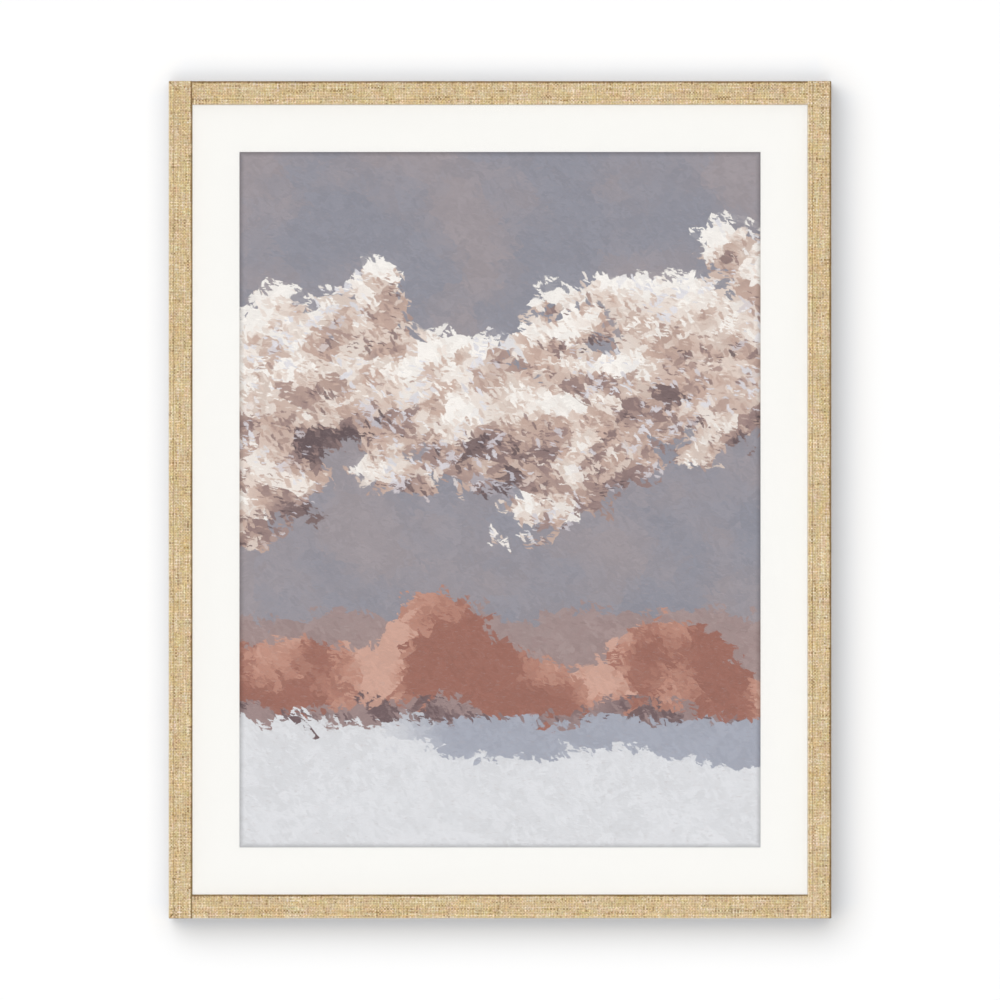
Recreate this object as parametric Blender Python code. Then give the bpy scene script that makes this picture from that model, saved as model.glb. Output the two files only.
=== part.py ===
# Framed art print: four wooden strips in woven covers, glazing, a square-cut window mat and a print.
# Metres, +Z up. The picture faces -Y and the wall is the plane y = 0. The origin is the point where
# the wall's nail bears, in the middle notch of the hanger.
import math

import bmesh
import bpy
from mathutils import Matrix

# Seen from the front
WINDOW_WIDTH = 0.457
WINDOW_HEIGHT = 0.610
MAT_BORDER = 0.041  # mat that shows between the window and the frame
STRIP_FACE = 0.021  # width of each strip, over its cover
BEAD_WIDTH = 0.0046  # from a strip's edge to the middle of its groove
GROOVE_WIDTH = 0.0012
GROOVE_DEPTH = 0.0005
BEAD_ROUND = 0.0006
BEAD_DROP = 0.0002  # how far the bead falls away beside the groove
COVER_ARRIS = 0.0007
CORE_ARRIS = 0.0003

# Through the depth
STRIP_DEPTH = 0.030
STAND_OFF = 0.003  # hanger and bumpers, between the strips and the wall
COVER = 0.0009
GAP = 0.0003  # between pieces that touch
LIP_DEPTH = 0.003
REBATE_WIDTH = 0.0065  # from the sight edge to the rebate's wall
GLAZING = 0.002
MAT = 0.0032
PAPER = 0.0005
TAPE = 0.0003
BACKING = 0.003

# The sheets in the rebate
SHEET_PLAY = 0.001  # at each side
PRINT_MARGIN = 0.010  # paper hidden behind the mat
TAPE_WIDTH = 0.030
TAPE_LAP = 0.012  # length stuck to the print, and again to the mat
TAPE_STEP = 0.002

# Fastenings
DOWEL_RADIUS = 0.003
DOWEL_IN_STILE = 0.010
DOWEL_IN_RAIL = 0.014
DOWEL_CHAMFER = 0.0007
DOWEL_SPREAD = 0.013  # between the two dowels of a corner
POINT_WIDTH = 0.010
POINT_THICKNESS = 0.0005
POINT_REACH = 0.008  # over the backing, and as deep in the wood
POINT_CORNER = 0.0022
POINTS_IN_STILE = 4
POINTS_IN_RAIL = 3
POINT_PITCH = 0.175
HANGER_LENGTH = 0.086
HANGER_HEIGHT = 0.012
HANGER_METAL = 0.0009
HANGER_TAB = 0.013
HANGER_JOGGLE = 0.004
TOOTH_DEPTH = 0.0025
TOOTH_PITCH = 0.005
TEETH = 9
TOOTH_TIP = 0.0004  # how much the teeth's points are blunted
NAIL_RADIUS = 0.0008
NAIL_LENGTH = 0.012
NAIL_HEAD_RADIUS = 0.002
NAIL_HEAD = 0.0008
NAIL_HEAD_CHAMFER = 0.0003
NAIL_TIP = 0.002
BUMPER_RADIUS = 0.005
BUMPER_ROUND = 0.0009
BUMPER_RISE = 0.016  # its middle above the frame's lower edge

PAST = 0.002  # a cutter's reach past the face it opens

# Places that follow from the sizes
WIDTH = WINDOW_WIDTH + 2 * (MAT_BORDER + STRIP_FACE)
HEIGHT = WINDOW_HEIGHT + 2 * (MAT_BORDER + STRIP_FACE)
SKIN = COVER + GAP
WALL_U = STRIP_FACE - REBATE_WIDTH  # the rebate's wall, from the strip's outer side
BACK_MIDDLE_U = (SKIN + WALL_U) / 2  # middle of a strip's back face
HANGER_MARGIN = BACK_MIDDLE_U - HANGER_HEIGHT / 2
TOP = HANGER_HEIGHT - TOOTH_DEPTH + HANGER_MARGIN
BOTTOM = TOP - HEIGHT
MIDDLE = (TOP + BOTTOM) / 2
BACK_Y = -STAND_OFF
FRONT_Y = BACK_Y - STRIP_DEPTH
CORE_FRONT_Y = FRONT_Y + SKIN
LIP_BACK_Y = CORE_FRONT_Y + LIP_DEPTH
GLAZING_Y = LIP_BACK_Y + GAP
MAT_Y = GLAZING_Y + GLAZING + GAP
PRINT_Y = MAT_Y + MAT + GAP
TAPE_Y = PRINT_Y + PAPER + GAP
BACKING_Y = TAPE_Y + TAPE + GAP
POINT_Y = BACKING_Y + BACKING + GAP
SHEET_LOW = BOTTOM + WALL_U + GAP
SHEET_HIGH = TOP - WALL_U - 2 * SHEET_PLAY + GAP
SHEET_WIDTH = WIDTH - 2 * (WALL_U + SHEET_PLAY)


def clear_scene():
    for thing in list(bpy.data.objects):
        bpy.data.objects.remove(thing, do_unlink=True)


def new_collection(name):
    collection = bpy.data.collections.new(name)
    bpy.context.scene.collection.children.link(collection)
    return collection


def new_material(name, colour, roughness, metallic=0.0, alpha=1.0):
    material = bpy.data.materials.new(name)
    material.use_nodes = True
    shader = material.node_tree.nodes["Principled BSDF"]
    shader.inputs["Base Color"].default_value = (*colour, 1.0)
    shader.inputs["Roughness"].default_value = roughness
    shader.inputs["Metallic"].default_value = metallic
    shader.inputs["Alpha"].default_value = alpha
    return material


def mesh_from(bm, name):
    bmesh.ops.recalc_face_normals(bm, faces=bm.faces)
    mesh = bpy.data.meshes.new(name)
    bm.to_mesh(mesh)
    bm.free()
    return mesh


def add_part(name, mesh, material, place=None):
    thing = bpy.data.objects.new(name, mesh)
    if not mesh.materials:
        mesh.materials.append(material)
    thing.matrix_world = place or Matrix.Identity(4)
    parts.objects.link(thing)
    return thing


def add_cutter(name, mesh, place, *groups):
    thing = bpy.data.objects.new(name, mesh)
    thing.matrix_world = place
    thing.hide_render = True
    thing.display_type = "WIRE"
    for group in groups:
        group.objects.link(thing)
    return thing


def cut(thing, cutters):
    boolean = thing.modifiers.new("cuts", "BOOLEAN")
    boolean.operation = "DIFFERENCE"
    boolean.solver = "EXACT"
    boolean.operand_type = "COLLECTION"
    boolean.collection = cutters


# An outline in the local XY plane, drawn out along local Z to both sides of the origin
def prism(name, outline, length):
    bm = bmesh.new()
    face = bm.faces.new([bm.verts.new((x, y, -length / 2)) for x, y in outline])
    grown = bmesh.ops.extrude_face_region(bm, geom=[face])
    moved = [item for item in grown["geom"] if isinstance(item, bmesh.types.BMVert)]
    bmesh.ops.translate(bm, verts=moved, vec=(0, 0, length))
    return mesh_from(bm, name)


# A box between any two opposite corners
def box(name, low, high):
    bm = bmesh.new()
    bmesh.ops.create_cube(bm, size=1.0)
    size = [abs(b - a) for a, b in zip(low, high)]
    centre = [(a + b) / 2 for a, b in zip(low, high)]
    bmesh.ops.scale(bm, vec=size, verts=bm.verts)
    bmesh.ops.translate(bm, vec=centre, verts=bm.verts)
    return mesh_from(bm, name)


# A round bar along local Z, its ends chamfered
def rod(name, radius, length, sides, chamfer=0.0):
    bm = bmesh.new()
    bmesh.ops.create_cone(bm, cap_ends=True, segments=sides, radius1=radius, radius2=radius, depth=length)
    if chamfer:
        rims = [edge for edge in bm.edges if any(len(face.verts) > 4 for face in edge.link_faces)]
        bmesh.ops.bevel(bm, geom=rims, offset=chamfer, segments=1, profile=0.5, affect="EDGES", material=-1)
    return mesh_from(bm, name)


def arc(centre, radius, start, end, steps):
    turns = [math.radians(start + (end - start) * i / steps) for i in range(steps + 1)]
    return [(centre[0] + radius * math.cos(t), centre[1] + radius * math.sin(t)) for t in turns]


# The strips. In a strip's own frame x runs from its outer side to the picture, y is the row's y and
# z runs along its length.
def strip_place(origin, degrees):
    return Matrix.Translation(origin) @ Matrix.Rotation(math.radians(degrees), 4, "Y")


STRIPS = {
    "left_stile": {"place": strip_place((-WIDTH / 2, 0, MIDDLE), 0), "bead_outside": True},
    "right_stile": {"place": strip_place((WIDTH / 2, 0, MIDDLE), 180), "bead_outside": False},
    "top_rail": {"place": strip_place((0, 0, TOP), 90), "bead_outside": False},
    "bottom_rail": {"place": strip_place((0, 0, BOTTOM), -90), "bead_outside": True},
}


def is_stile(name):
    return name.endswith("stile")


# The whole section over the cover, with the bead and groove at one edge of the face
def cover_outline(bead_outside):
    face = arc((BEAD_ROUND, FRONT_Y + BEAD_ROUND), BEAD_ROUND, 180, 270, 3)
    face += [
        (BEAD_WIDTH - GROOVE_WIDTH, FRONT_Y),
        (BEAD_WIDTH - GROOVE_WIDTH / 2, FRONT_Y + BEAD_DROP),
        (BEAD_WIDTH, FRONT_Y + GROOVE_DEPTH),
        (BEAD_WIDTH + GROOVE_WIDTH / 2, FRONT_Y),
    ]
    face += arc((STRIP_FACE - COVER_ARRIS, FRONT_Y + COVER_ARRIS), COVER_ARRIS, 270, 360, 2)
    if not bead_outside:
        face = [(STRIP_FACE - x, y) for x, y in reversed(face)]
    ends = [(STRIP_FACE, LIP_BACK_Y), (WALL_U, LIP_BACK_Y), (WALL_U, BACK_Y), (0.0, BACK_Y)]
    return face + ends


def core_outline():
    sight_u = STRIP_FACE - SKIN
    return [
        (SKIN, BACK_Y),
        (SKIN, CORE_FRONT_Y + CORE_ARRIS),
        (SKIN + CORE_ARRIS, CORE_FRONT_Y),
        (sight_u - CORE_ARRIS, CORE_FRONT_Y),
        (sight_u, CORE_FRONT_Y + CORE_ARRIS),
        (sight_u, LIP_BACK_Y),
        (WALL_U, LIP_BACK_Y),
        (WALL_U, BACK_Y),
    ]


# A rail's front ends stop at the stiles' sight edges, and its back runs on behind the stiles' lips
def rail_lengths():
    between_edges = WIDTH - 2 * (STRIP_FACE + GAP)
    between_walls = WIDTH - 2 * (WALL_U + GAP)
    return between_edges, between_walls


def add_strips():
    between_edges, between_walls = rail_lengths()
    for name, strip in STRIPS.items():
        core_cuts = new_collection(name + "_cuts")
        cover_cuts = new_collection(name + "_cover_cuts")
        length = HEIGHT if is_stile(name) else between_walls
        core_length = length - 2 * SKIN if is_stile(name) else length
        core = add_part(name, prism(name, core_outline(), core_length), wood, strip["place"])
        cover_mesh = prism(name + "_cover", cover_outline(strip["bead_outside"]), length)
        cover = add_part(name + "_cover", cover_mesh, woven, strip["place"])
        hollow_length = length - 2 * COVER if is_stile(name) else length + 2 * PAST
        hollow = [
            (COVER, FRONT_Y + COVER),
            (STRIP_FACE - COVER, FRONT_Y + COVER),
            (STRIP_FACE - COVER, BACK_Y + PAST),
            (COVER, BACK_Y + PAST),
        ]
        hollow_mesh = prism(name + "_hollow", hollow, hollow_length)
        add_cutter(name + "_hollow", hollow_mesh, strip["place"], cover_cuts)
        if not is_stile(name):
            for side in (-1, 1):
                low = (-PAST, FRONT_Y - PAST, side * between_edges / 2)
                high = (STRIP_FACE + PAST, LIP_BACK_Y + GAP, side * (between_walls / 2 + PAST))
                notch = box(name + "_notch", low, high)
                add_cutter(name + "_notch", notch, strip["place"], core_cuts, cover_cuts)
        cut(core, core_cuts)
        cut(cover, cover_cuts)
        strip["cuts"] = core_cuts


def add_dowels():
    length = DOWEL_IN_STILE + DOWEL_IN_RAIL
    mesh = rod("dowel", DOWEL_RADIUS, length, 12, DOWEL_CHAMFER)
    bore = rod("dowel_bore", DOWEL_RADIUS + GAP, length + 2 * GAP, 12)
    turn = Matrix.Rotation(math.radians(90), 4, "Y")
    wall_x = WIDTH / 2 - WALL_U
    middle_y = (LIP_BACK_Y + BACK_Y) / 2
    for side, stile in ((-1, "left_stile"), (1, "right_stile")):
        for rail, z in (("top_rail", TOP - BACK_MIDDLE_U), ("bottom_rail", BOTTOM + BACK_MIDDLE_U)):
            for number, offset in ((1, -DOWEL_SPREAD / 2), (2, DOWEL_SPREAD / 2)):
                x = side * (wall_x + (DOWEL_IN_STILE - DOWEL_IN_RAIL) / 2)
                place = Matrix.Translation((x, middle_y + offset, z)) @ turn
                name = f"dowel_{rail.split('_')[0]}_{stile.split('_')[0]}_{number}"
                add_part(name, mesh, beech, place)
                add_cutter(name + "_bore", bore, place, STRIPS[stile]["cuts"], STRIPS[rail]["cuts"])


# Glazing, window mat, print, its tapes and the backing, front to back
def add_sheets():
    def sheet(name, y, thickness, material):
        low = (-SHEET_WIDTH / 2, y, SHEET_LOW)
        high = (SHEET_WIDTH / 2, y + thickness, SHEET_HIGH)
        return add_part(name, box(name, low, high), material)

    sheet("glazing", GLAZING_Y, GLAZING, clear_glass)
    window_mat = sheet("window_mat", MAT_Y, MAT, board_white)
    sheet("backing_board", BACKING_Y, BACKING, hardboard)
    window_cuts = new_collection("window_mat_cuts")  # cut square, so the opening shows no core
    low = (-WINDOW_WIDTH / 2, MAT_Y - PAST, MIDDLE - WINDOW_HEIGHT / 2)
    high = (WINDOW_WIDTH / 2, MAT_Y + MAT + PAST, MIDDLE + WINDOW_HEIGHT / 2)
    add_cutter("window", box("window", low, high), Matrix.Identity(4), window_cuts)
    cut(window_mat, window_cuts)

    half_width = WINDOW_WIDTH / 2 + PRINT_MARGIN
    half_height = WINDOW_HEIGHT / 2 + PRINT_MARGIN
    low = (-half_width, PRINT_Y, MIDDLE - half_height)
    high = (half_width, PRINT_Y + PAPER, MIDDLE + half_height)
    add_part("art_print", box("art_print", low, high), printed_paper)
    for name, side in (("print_tape_left", -1), ("print_tape_right", 1)):
        turn = Matrix.Rotation(math.radians(-90), 4, "Y")
        place = Matrix.Translation((side * WINDOW_WIDTH / 3, 0, MIDDLE + half_height)) @ turn
        add_part(name, prism("print_tape", tape_outline(), TAPE_WIDTH), tape_paper, place)


# A strip of tape stuck to the print's back, stepping over its top edge to the mat's back.
# Local x is height above the print's top edge.
def tape_outline():
    low, high = -TAPE_LAP, TAPE_STEP + TAPE_LAP
    mat_side = MAT_Y + MAT + GAP
    print_side = TAPE_Y
    return [
        (low, print_side),
        (GAP, print_side),
        (TAPE_STEP, mat_side),
        (high, mat_side),
        (high, mat_side + TAPE),
        (TAPE_STEP + TAPE, mat_side + TAPE),
        (GAP + TAPE, print_side + TAPE),
        (low, print_side + TAPE),
    ]


# Flat steel points, driven into slots in the rebates' walls just behind the backing
def add_points():
    half = POINT_WIDTH / 2
    tip = POINT_CORNER / 2
    outline = [
        (WALL_U - POINT_REACH, -tip),
        (WALL_U - POINT_REACH, tip),
        (WALL_U - POINT_REACH / 2, half),
        (WALL_U + POINT_REACH - POINT_CORNER, half),
        (WALL_U + POINT_REACH, half - POINT_CORNER),
        (WALL_U + POINT_REACH, POINT_CORNER - half),
        (WALL_U + POINT_REACH - POINT_CORNER, -half),
        (WALL_U - POINT_REACH / 2, -half),
    ]
    point = prism("point", outline, POINT_THICKNESS)
    low = (WALL_U - POINT_REACH - GAP, -half - GAP, -POINT_THICKNESS / 2 - GAP)
    high = (WALL_U + PAST, half + GAP, POINT_THICKNESS / 2 + GAP)
    slot = box("point_slot", low, high)
    lie_flat = Matrix.Rotation(math.radians(-90), 4, "X")
    for name, strip in STRIPS.items():
        count = POINTS_IN_STILE if is_stile(name) else POINTS_IN_RAIL
        for number in range(count):
            z = (number - (count - 1) / 2) * POINT_PITCH
            along = Matrix.Translation((0, POINT_Y + POINT_THICKNESS / 2, z))
            place = strip["place"] @ along @ lie_flat
            point_name = f"point_{name.split('_')[0]}_{number + 1}"
            add_part(point_name, point, steel, place)
            add_cutter(point_name + "_slot", slot, place, strip["cuts"])


# The hanger's middle stands off the rail so that a nail's head goes behind it
def add_hanger():
    inner = BACK_Y + GAP
    raised = -HANGER_METAL
    slope = math.atan2(raised - inner, HANGER_JOGGLE)
    lead = HANGER_METAL * math.tan(slope / 2)  # keeps the metal's thickness through the slope
    half = HANGER_LENGTH / 2
    tab = half - HANGER_TAB
    crown = tab - HANGER_JOGGLE
    wall_side = [
        (-half, inner + HANGER_METAL),
        (-tab, inner + HANGER_METAL),
        (-crown, 0.0),
        (crown, 0.0),
        (tab, inner + HANGER_METAL),
        (half, inner + HANGER_METAL),
    ]
    wood_side = [
        (half, inner),
        (tab - lead, inner),
        (crown - lead, raised),
        (lead - crown, raised),
        (lead - tab, inner),
        (-half, inner),
    ]
    base = Matrix.Translation((0, 0, HANGER_HEIGHT / 2 - TOOTH_DEPTH))
    mesh = prism("sawtooth_hanger", wall_side + wood_side, HANGER_HEIGHT)
    hanger = add_part("sawtooth_hanger", mesh, plated_steel, base)
    hanger_cuts = new_collection("hanger_cuts")

    run = TEETH * TOOTH_PITCH
    tip_z = -TOOTH_DEPTH - TOOTH_TIP
    saw = [(run / 2, tip_z - PAST), (-run / 2, tip_z - PAST)]
    for number in range(TEETH):
        start = -run / 2 + number * TOOTH_PITCH
        saw += [(start, tip_z), (start + TOOTH_PITCH / 2, 0.0)]
    saw.append((run / 2, tip_z))
    upright = Matrix.Rotation(math.radians(90), 4, "X")
    add_cutter("teeth", prism("teeth", saw, 2 * STAND_OFF + PAST), upright, hanger_cuts)

    nail = nail_mesh()
    shank = rod("nail_bore", NAIL_RADIUS + GAP, NAIL_LENGTH + STAND_OFF + GAP, 12)
    into_wood = Matrix.Rotation(math.radians(90), 4, "X")
    z = HANGER_HEIGHT / 2 - TOOTH_DEPTH
    for name, side in (("hanger_nail_left", -1), ("hanger_nail_right", 1)):
        x = side * (half - HANGER_TAB / 2)
        head_y = inner + HANGER_METAL + GAP
        add_part(name, nail, plated_steel, Matrix.Translation((x, head_y, z)) @ into_wood)
        bore_y = head_y - (NAIL_LENGTH + GAP - STAND_OFF) / 2
        bore_place = Matrix.Translation((x, bore_y, z)) @ into_wood
        add_cutter(name + "_bore", shank, bore_place, hanger_cuts, STRIPS["top_rail"]["cuts"])
    cut(hanger, hanger_cuts)


# Local z runs from the head's underside into the wood, so the head lies below zero
def nail_mesh():
    profile = [
        (0.0, -NAIL_HEAD),
        (NAIL_HEAD_RADIUS - NAIL_HEAD_CHAMFER, -NAIL_HEAD),
        (NAIL_HEAD_RADIUS, NAIL_HEAD_CHAMFER - NAIL_HEAD),
        (NAIL_HEAD_RADIUS, 0.0),
        (NAIL_RADIUS, 0.0),
        (NAIL_RADIUS, NAIL_LENGTH - NAIL_TIP),
        (0.0, NAIL_LENGTH),
    ]
    return turned("nail", profile, 12)


def turned(name, profile, sides):
    bm = bmesh.new()
    verts = [bm.verts.new((radius, 0, z)) for radius, z in profile]
    edges = [bm.edges.new(pair) for pair in zip(verts, verts[1:])]
    bmesh.ops.spin(
        bm, geom=verts + edges, cent=(0, 0, 0), axis=(0, 0, 1), angle=math.tau, steps=sides, use_merge=True
    )
    bmesh.ops.remove_doubles(bm, verts=bm.verts, dist=0.00001)
    return mesh_from(bm, name)


def add_bumpers():
    thickness = STAND_OFF - GAP
    profile = [(0.0, 0.0), (BUMPER_RADIUS, 0.0)]
    profile += arc((BUMPER_RADIUS - BUMPER_ROUND, thickness - BUMPER_ROUND), BUMPER_ROUND, 0, 90, 3)
    profile.append((0.0, thickness))
    mesh = turned("bumper", profile, 24)
    face_wall = Matrix.Rotation(math.radians(-90), 4, "X")
    for name, side in (("bumper_left", -1), ("bumper_right", 1)):
        x = side * (WIDTH / 2 - BACK_MIDDLE_U)
        place = Matrix.Translation((x, BACK_Y + GAP, BOTTOM + BUMPER_RISE))
        add_part(name, mesh, clear_rubber, place @ face_wall)


clear_scene()
parts = new_collection("framed_art_print")
wood = new_material("pine", (0.62, 0.44, 0.26), 0.7)
woven = new_material("woven_cover", (0.64, 0.50, 0.30), 0.9)
beech = new_material("beech", (0.70, 0.52, 0.34), 0.6)
clear_glass = new_material("clear_glass", (0.95, 0.97, 0.97), 0.05, alpha=0.12)
board_white = new_material("mat_board", (0.95, 0.94, 0.90), 0.9)
printed_paper = new_material("printed_paper", (0.30, 0.29, 0.32), 0.85)
tape_paper = new_material("gummed_tape", (0.90, 0.87, 0.78), 0.8)
hardboard = new_material("hardboard", (0.30, 0.18, 0.10), 0.75)
steel = new_material("steel", (0.60, 0.60, 0.60), 0.35, metallic=1.0)
plated_steel = new_material("brass_plated_steel", (0.72, 0.58, 0.32), 0.3, metallic=1.0)
clear_rubber = new_material("bumper_rubber", (0.75, 0.75, 0.72), 0.5)
add_strips()
add_dowels()
add_sheets()
add_points()
add_hanger()
add_bumpers()
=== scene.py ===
# Looks for the framed art print. Metres, +Z up; the picture faces -Y and hangs on the wall y = 0.
import math

import bmesh
import bpy
import numpy as np
from mathutils import Matrix, Vector


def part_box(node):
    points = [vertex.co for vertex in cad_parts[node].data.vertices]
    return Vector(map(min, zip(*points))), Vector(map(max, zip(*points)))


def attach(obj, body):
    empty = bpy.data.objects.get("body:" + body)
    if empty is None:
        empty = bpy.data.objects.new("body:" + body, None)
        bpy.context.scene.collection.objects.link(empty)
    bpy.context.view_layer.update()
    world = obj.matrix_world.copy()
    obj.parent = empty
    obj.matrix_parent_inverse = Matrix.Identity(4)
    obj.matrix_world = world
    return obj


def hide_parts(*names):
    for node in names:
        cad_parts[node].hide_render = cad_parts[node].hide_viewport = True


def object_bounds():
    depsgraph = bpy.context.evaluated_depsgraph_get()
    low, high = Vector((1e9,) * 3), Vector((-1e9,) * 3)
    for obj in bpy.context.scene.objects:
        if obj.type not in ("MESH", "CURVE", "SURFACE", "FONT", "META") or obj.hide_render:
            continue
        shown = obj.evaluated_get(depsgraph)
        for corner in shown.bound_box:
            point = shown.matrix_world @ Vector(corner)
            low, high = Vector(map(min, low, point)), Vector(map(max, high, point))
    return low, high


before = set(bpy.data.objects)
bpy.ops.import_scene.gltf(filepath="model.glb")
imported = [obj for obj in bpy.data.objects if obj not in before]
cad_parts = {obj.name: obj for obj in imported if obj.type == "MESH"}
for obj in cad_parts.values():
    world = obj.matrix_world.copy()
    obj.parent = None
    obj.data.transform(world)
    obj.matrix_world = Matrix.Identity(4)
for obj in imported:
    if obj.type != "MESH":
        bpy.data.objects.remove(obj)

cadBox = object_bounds()
boxLow, boxHigh = cadBox
middle = (boxLow[2] + boxHigh[2]) / 2
halfWide = (boxHigh[0] - boxLow[0]) / 2
halfTall = (boxHigh[2] - boxLow[2]) / 2
front = boxLow[1]
print("frame loaded:", len(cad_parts), "nodes")


# Shader maths as plain expressions
class Wire:
    def __init__(self, paint, socket):
        self.paint = paint
        self.socket = socket

    def work(self, operation, *terms):
        wide = any(isinstance(t, tuple) or isinstance(t, Wire) and t.socket.type != "VALUE" for t in terms)
        kind = "ShaderNodeVectorMath" if wide else "ShaderNodeMath"
        return self.paint.node(kind, {"operation": operation}, dict(enumerate(terms)))

    def __add__(self, other):
        return self.work("ADD", self, other)

    def __radd__(self, other):
        return self.work("ADD", other, self)

    def __sub__(self, other):
        return self.work("SUBTRACT", self, other)

    def __rsub__(self, other):
        return self.work("SUBTRACT", other, self)

    def __mul__(self, other):
        return self.work("MULTIPLY", self, other)

    def __rmul__(self, other):
        return self.work("MULTIPLY", other, self)

    def __truediv__(self, other):
        return self.work("DIVIDE", self, other)

    def __mod__(self, other):
        return self.work("MODULO", self, other)

    def __abs__(self):
        return self.work("ABSOLUTE", self)

    def __gt__(self, other):
        return self.work("GREATER_THAN", self, other)

    def __lt__(self, other):
        return self.work("LESS_THAN", self, other)


class Paint:
    def __init__(self, name):
        self.material = bpy.data.materials.new(name)
        self.material.use_nodes = True
        self.tree = self.material.node_tree
        self.tree.nodes.clear()

    # A node's settings come first, then the values or links of its sockets
    def node(self, kind, settings=None, inputs=None, out=0):
        made = self.tree.nodes.new(kind)
        for name, value in (settings or {}).items():
            if name == "stops":
                while len(made.color_ramp.elements) < len(value):
                    made.color_ramp.elements.new(1.0)
                for element, (position, colour) in zip(made.color_ramp.elements, value):
                    element.position = position
                    element.color = colour
            else:
                setattr(made, name, value)
        for key, value in (inputs or {}).items():
            socket = made.inputs[key]
            if isinstance(value, Wire):
                self.tree.links.new(value.socket, socket)
            elif socket.type == "VECTOR" and not isinstance(value, tuple):
                socket.default_value = (value, value, value)
            else:
                socket.default_value = value
        return Wire(self, made.outputs[out]) if made.outputs else None

    def place(self):  # the point on the object, in millimetres
        return self.node("ShaderNodeTexCoord", None, None, 3) * 1000.0

    def mix(self, factor, a, b, blend="MIX"):
        settings = {"data_type": "RGBA", "blend_type": blend}
        return self.node("ShaderNodeMix", settings, {0: factor, 6: a, 7: b}, 2)

    def shade(self, colour, level):  # a colour made lighter or darker by a number
        grey = self.node("ShaderNodeCombineColor", None, {0: level, 1: level, 2: level})
        return self.mix(1.0, colour, grey, "MULTIPLY")

    def fade(self, value, low, high, start=0.0, end=1.0):
        inputs = {0: value, 1: low, 2: high, 3: start, 4: end}
        return self.node("ShaderNodeMapRange", {"interpolation_type": "SMOOTHSTEP"}, inputs)

    def number(self, operation, *terms):  # an operation on plain numbers that Python has no sign for
        return self.node("ShaderNodeMath", {"operation": operation}, dict(enumerate(terms)))

    def noise(self, place, scale, detail=2.0, rough=0.5, out=0, flat=False):
        kind = "2D" if flat else "3D"
        inputs = {"Vector": place, "Scale": scale, "Detail": detail, "Roughness": rough}
        return self.node("ShaderNodeTexNoise", {"noise_dimensions": kind}, inputs, out)

    def point(self, x, y, z=0.0):
        return self.node("ShaderNodeCombineXYZ", None, {0: x, 1: y, 2: z})

    def split(self, vector):
        outputs = self.node("ShaderNodeSeparateXYZ", None, {0: vector}).socket.node.outputs
        return [Wire(self, output) for output in outputs]

    def bump(self, height, distance, strength=1.0):
        inputs = {"Height": height, "Distance": distance, "Strength": strength}
        return self.node("ShaderNodeBump", None, inputs)

    def close(self, inputs):  # ends the material in a Principled shader
        return self.end(self.node("ShaderNodeBsdfPrincipled", None, inputs))

    def end(self, surface):
        self.node("ShaderNodeOutputMaterial", None, {0: surface})
        return self.material


def rgb(r, g, b):  # a screen colour as the linear one that shaders take
    shares = (r / 255, g / 255, b / 255)
    return (*(c / 12.92 if c <= 0.04045 else ((c + 0.055) / 1.055) ** 2.4 for c in shares), 1.0)


def addPiece(name, mesh, paints, *nodes, slot=None):
    piece = bpy.data.objects.new(name, mesh)
    bpy.context.scene.collection.objects.link(piece)
    mesh.materials.clear()
    for paint in paints:
        mesh.materials.append(paint)
    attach(piece, "root")
    if nodes:
        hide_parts(*nodes)
    return piece


cover = {
    "face": 0.021,  # width of a strip
    "back": -0.003,
    "lipBack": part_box("glazing")[0].y - 0.0003,
    "wallU": 0.0145,  # the rebate's wall, from the strip's outer side
    "bead": 0.0046,  # from the edge to the middle of the groove
    "beadRound": 0.0004,
    "arris": 0.0007,
    "groove": 0.0004,
    "beadDrop": 0.00012,
    "thick": 0.0009,
    "pitch": 0.0014,  # from thread to thread
    "relief": 0.00024,  # how deep the corners between threads lie
    "stray": 0.00013,  # how far a thread wanders sideways
    "railEnd": 0.2697,  # half the length of a rail's cover
    "railTab": 0.2757,  # the same for its tabs, which run on behind the stiles' lips
    "numbering": (400, 4000),  # sets each strip's threads apart, so that no two strips look the same
    "unmarked": 0.05,  # a distance from the dark arris that no mark reaches
    "map": (0, 1, 0, 0.85),  # where the tube and the tabs lie on the map for baking
    "lowTabMap": (0.0, 0.2, 0.86, 0.92),
    "highTabMap": (0.0, 0.2, 0.93, 0.99),
}


def arcPoints(x, y, radius, start, end, steps=12):
    turns = [math.radians(start + (end - start) * i / steps) for i in range(steps + 1)]
    return [(x + radius * math.cos(t), y + radius * math.sin(t)) for t in turns]


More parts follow.
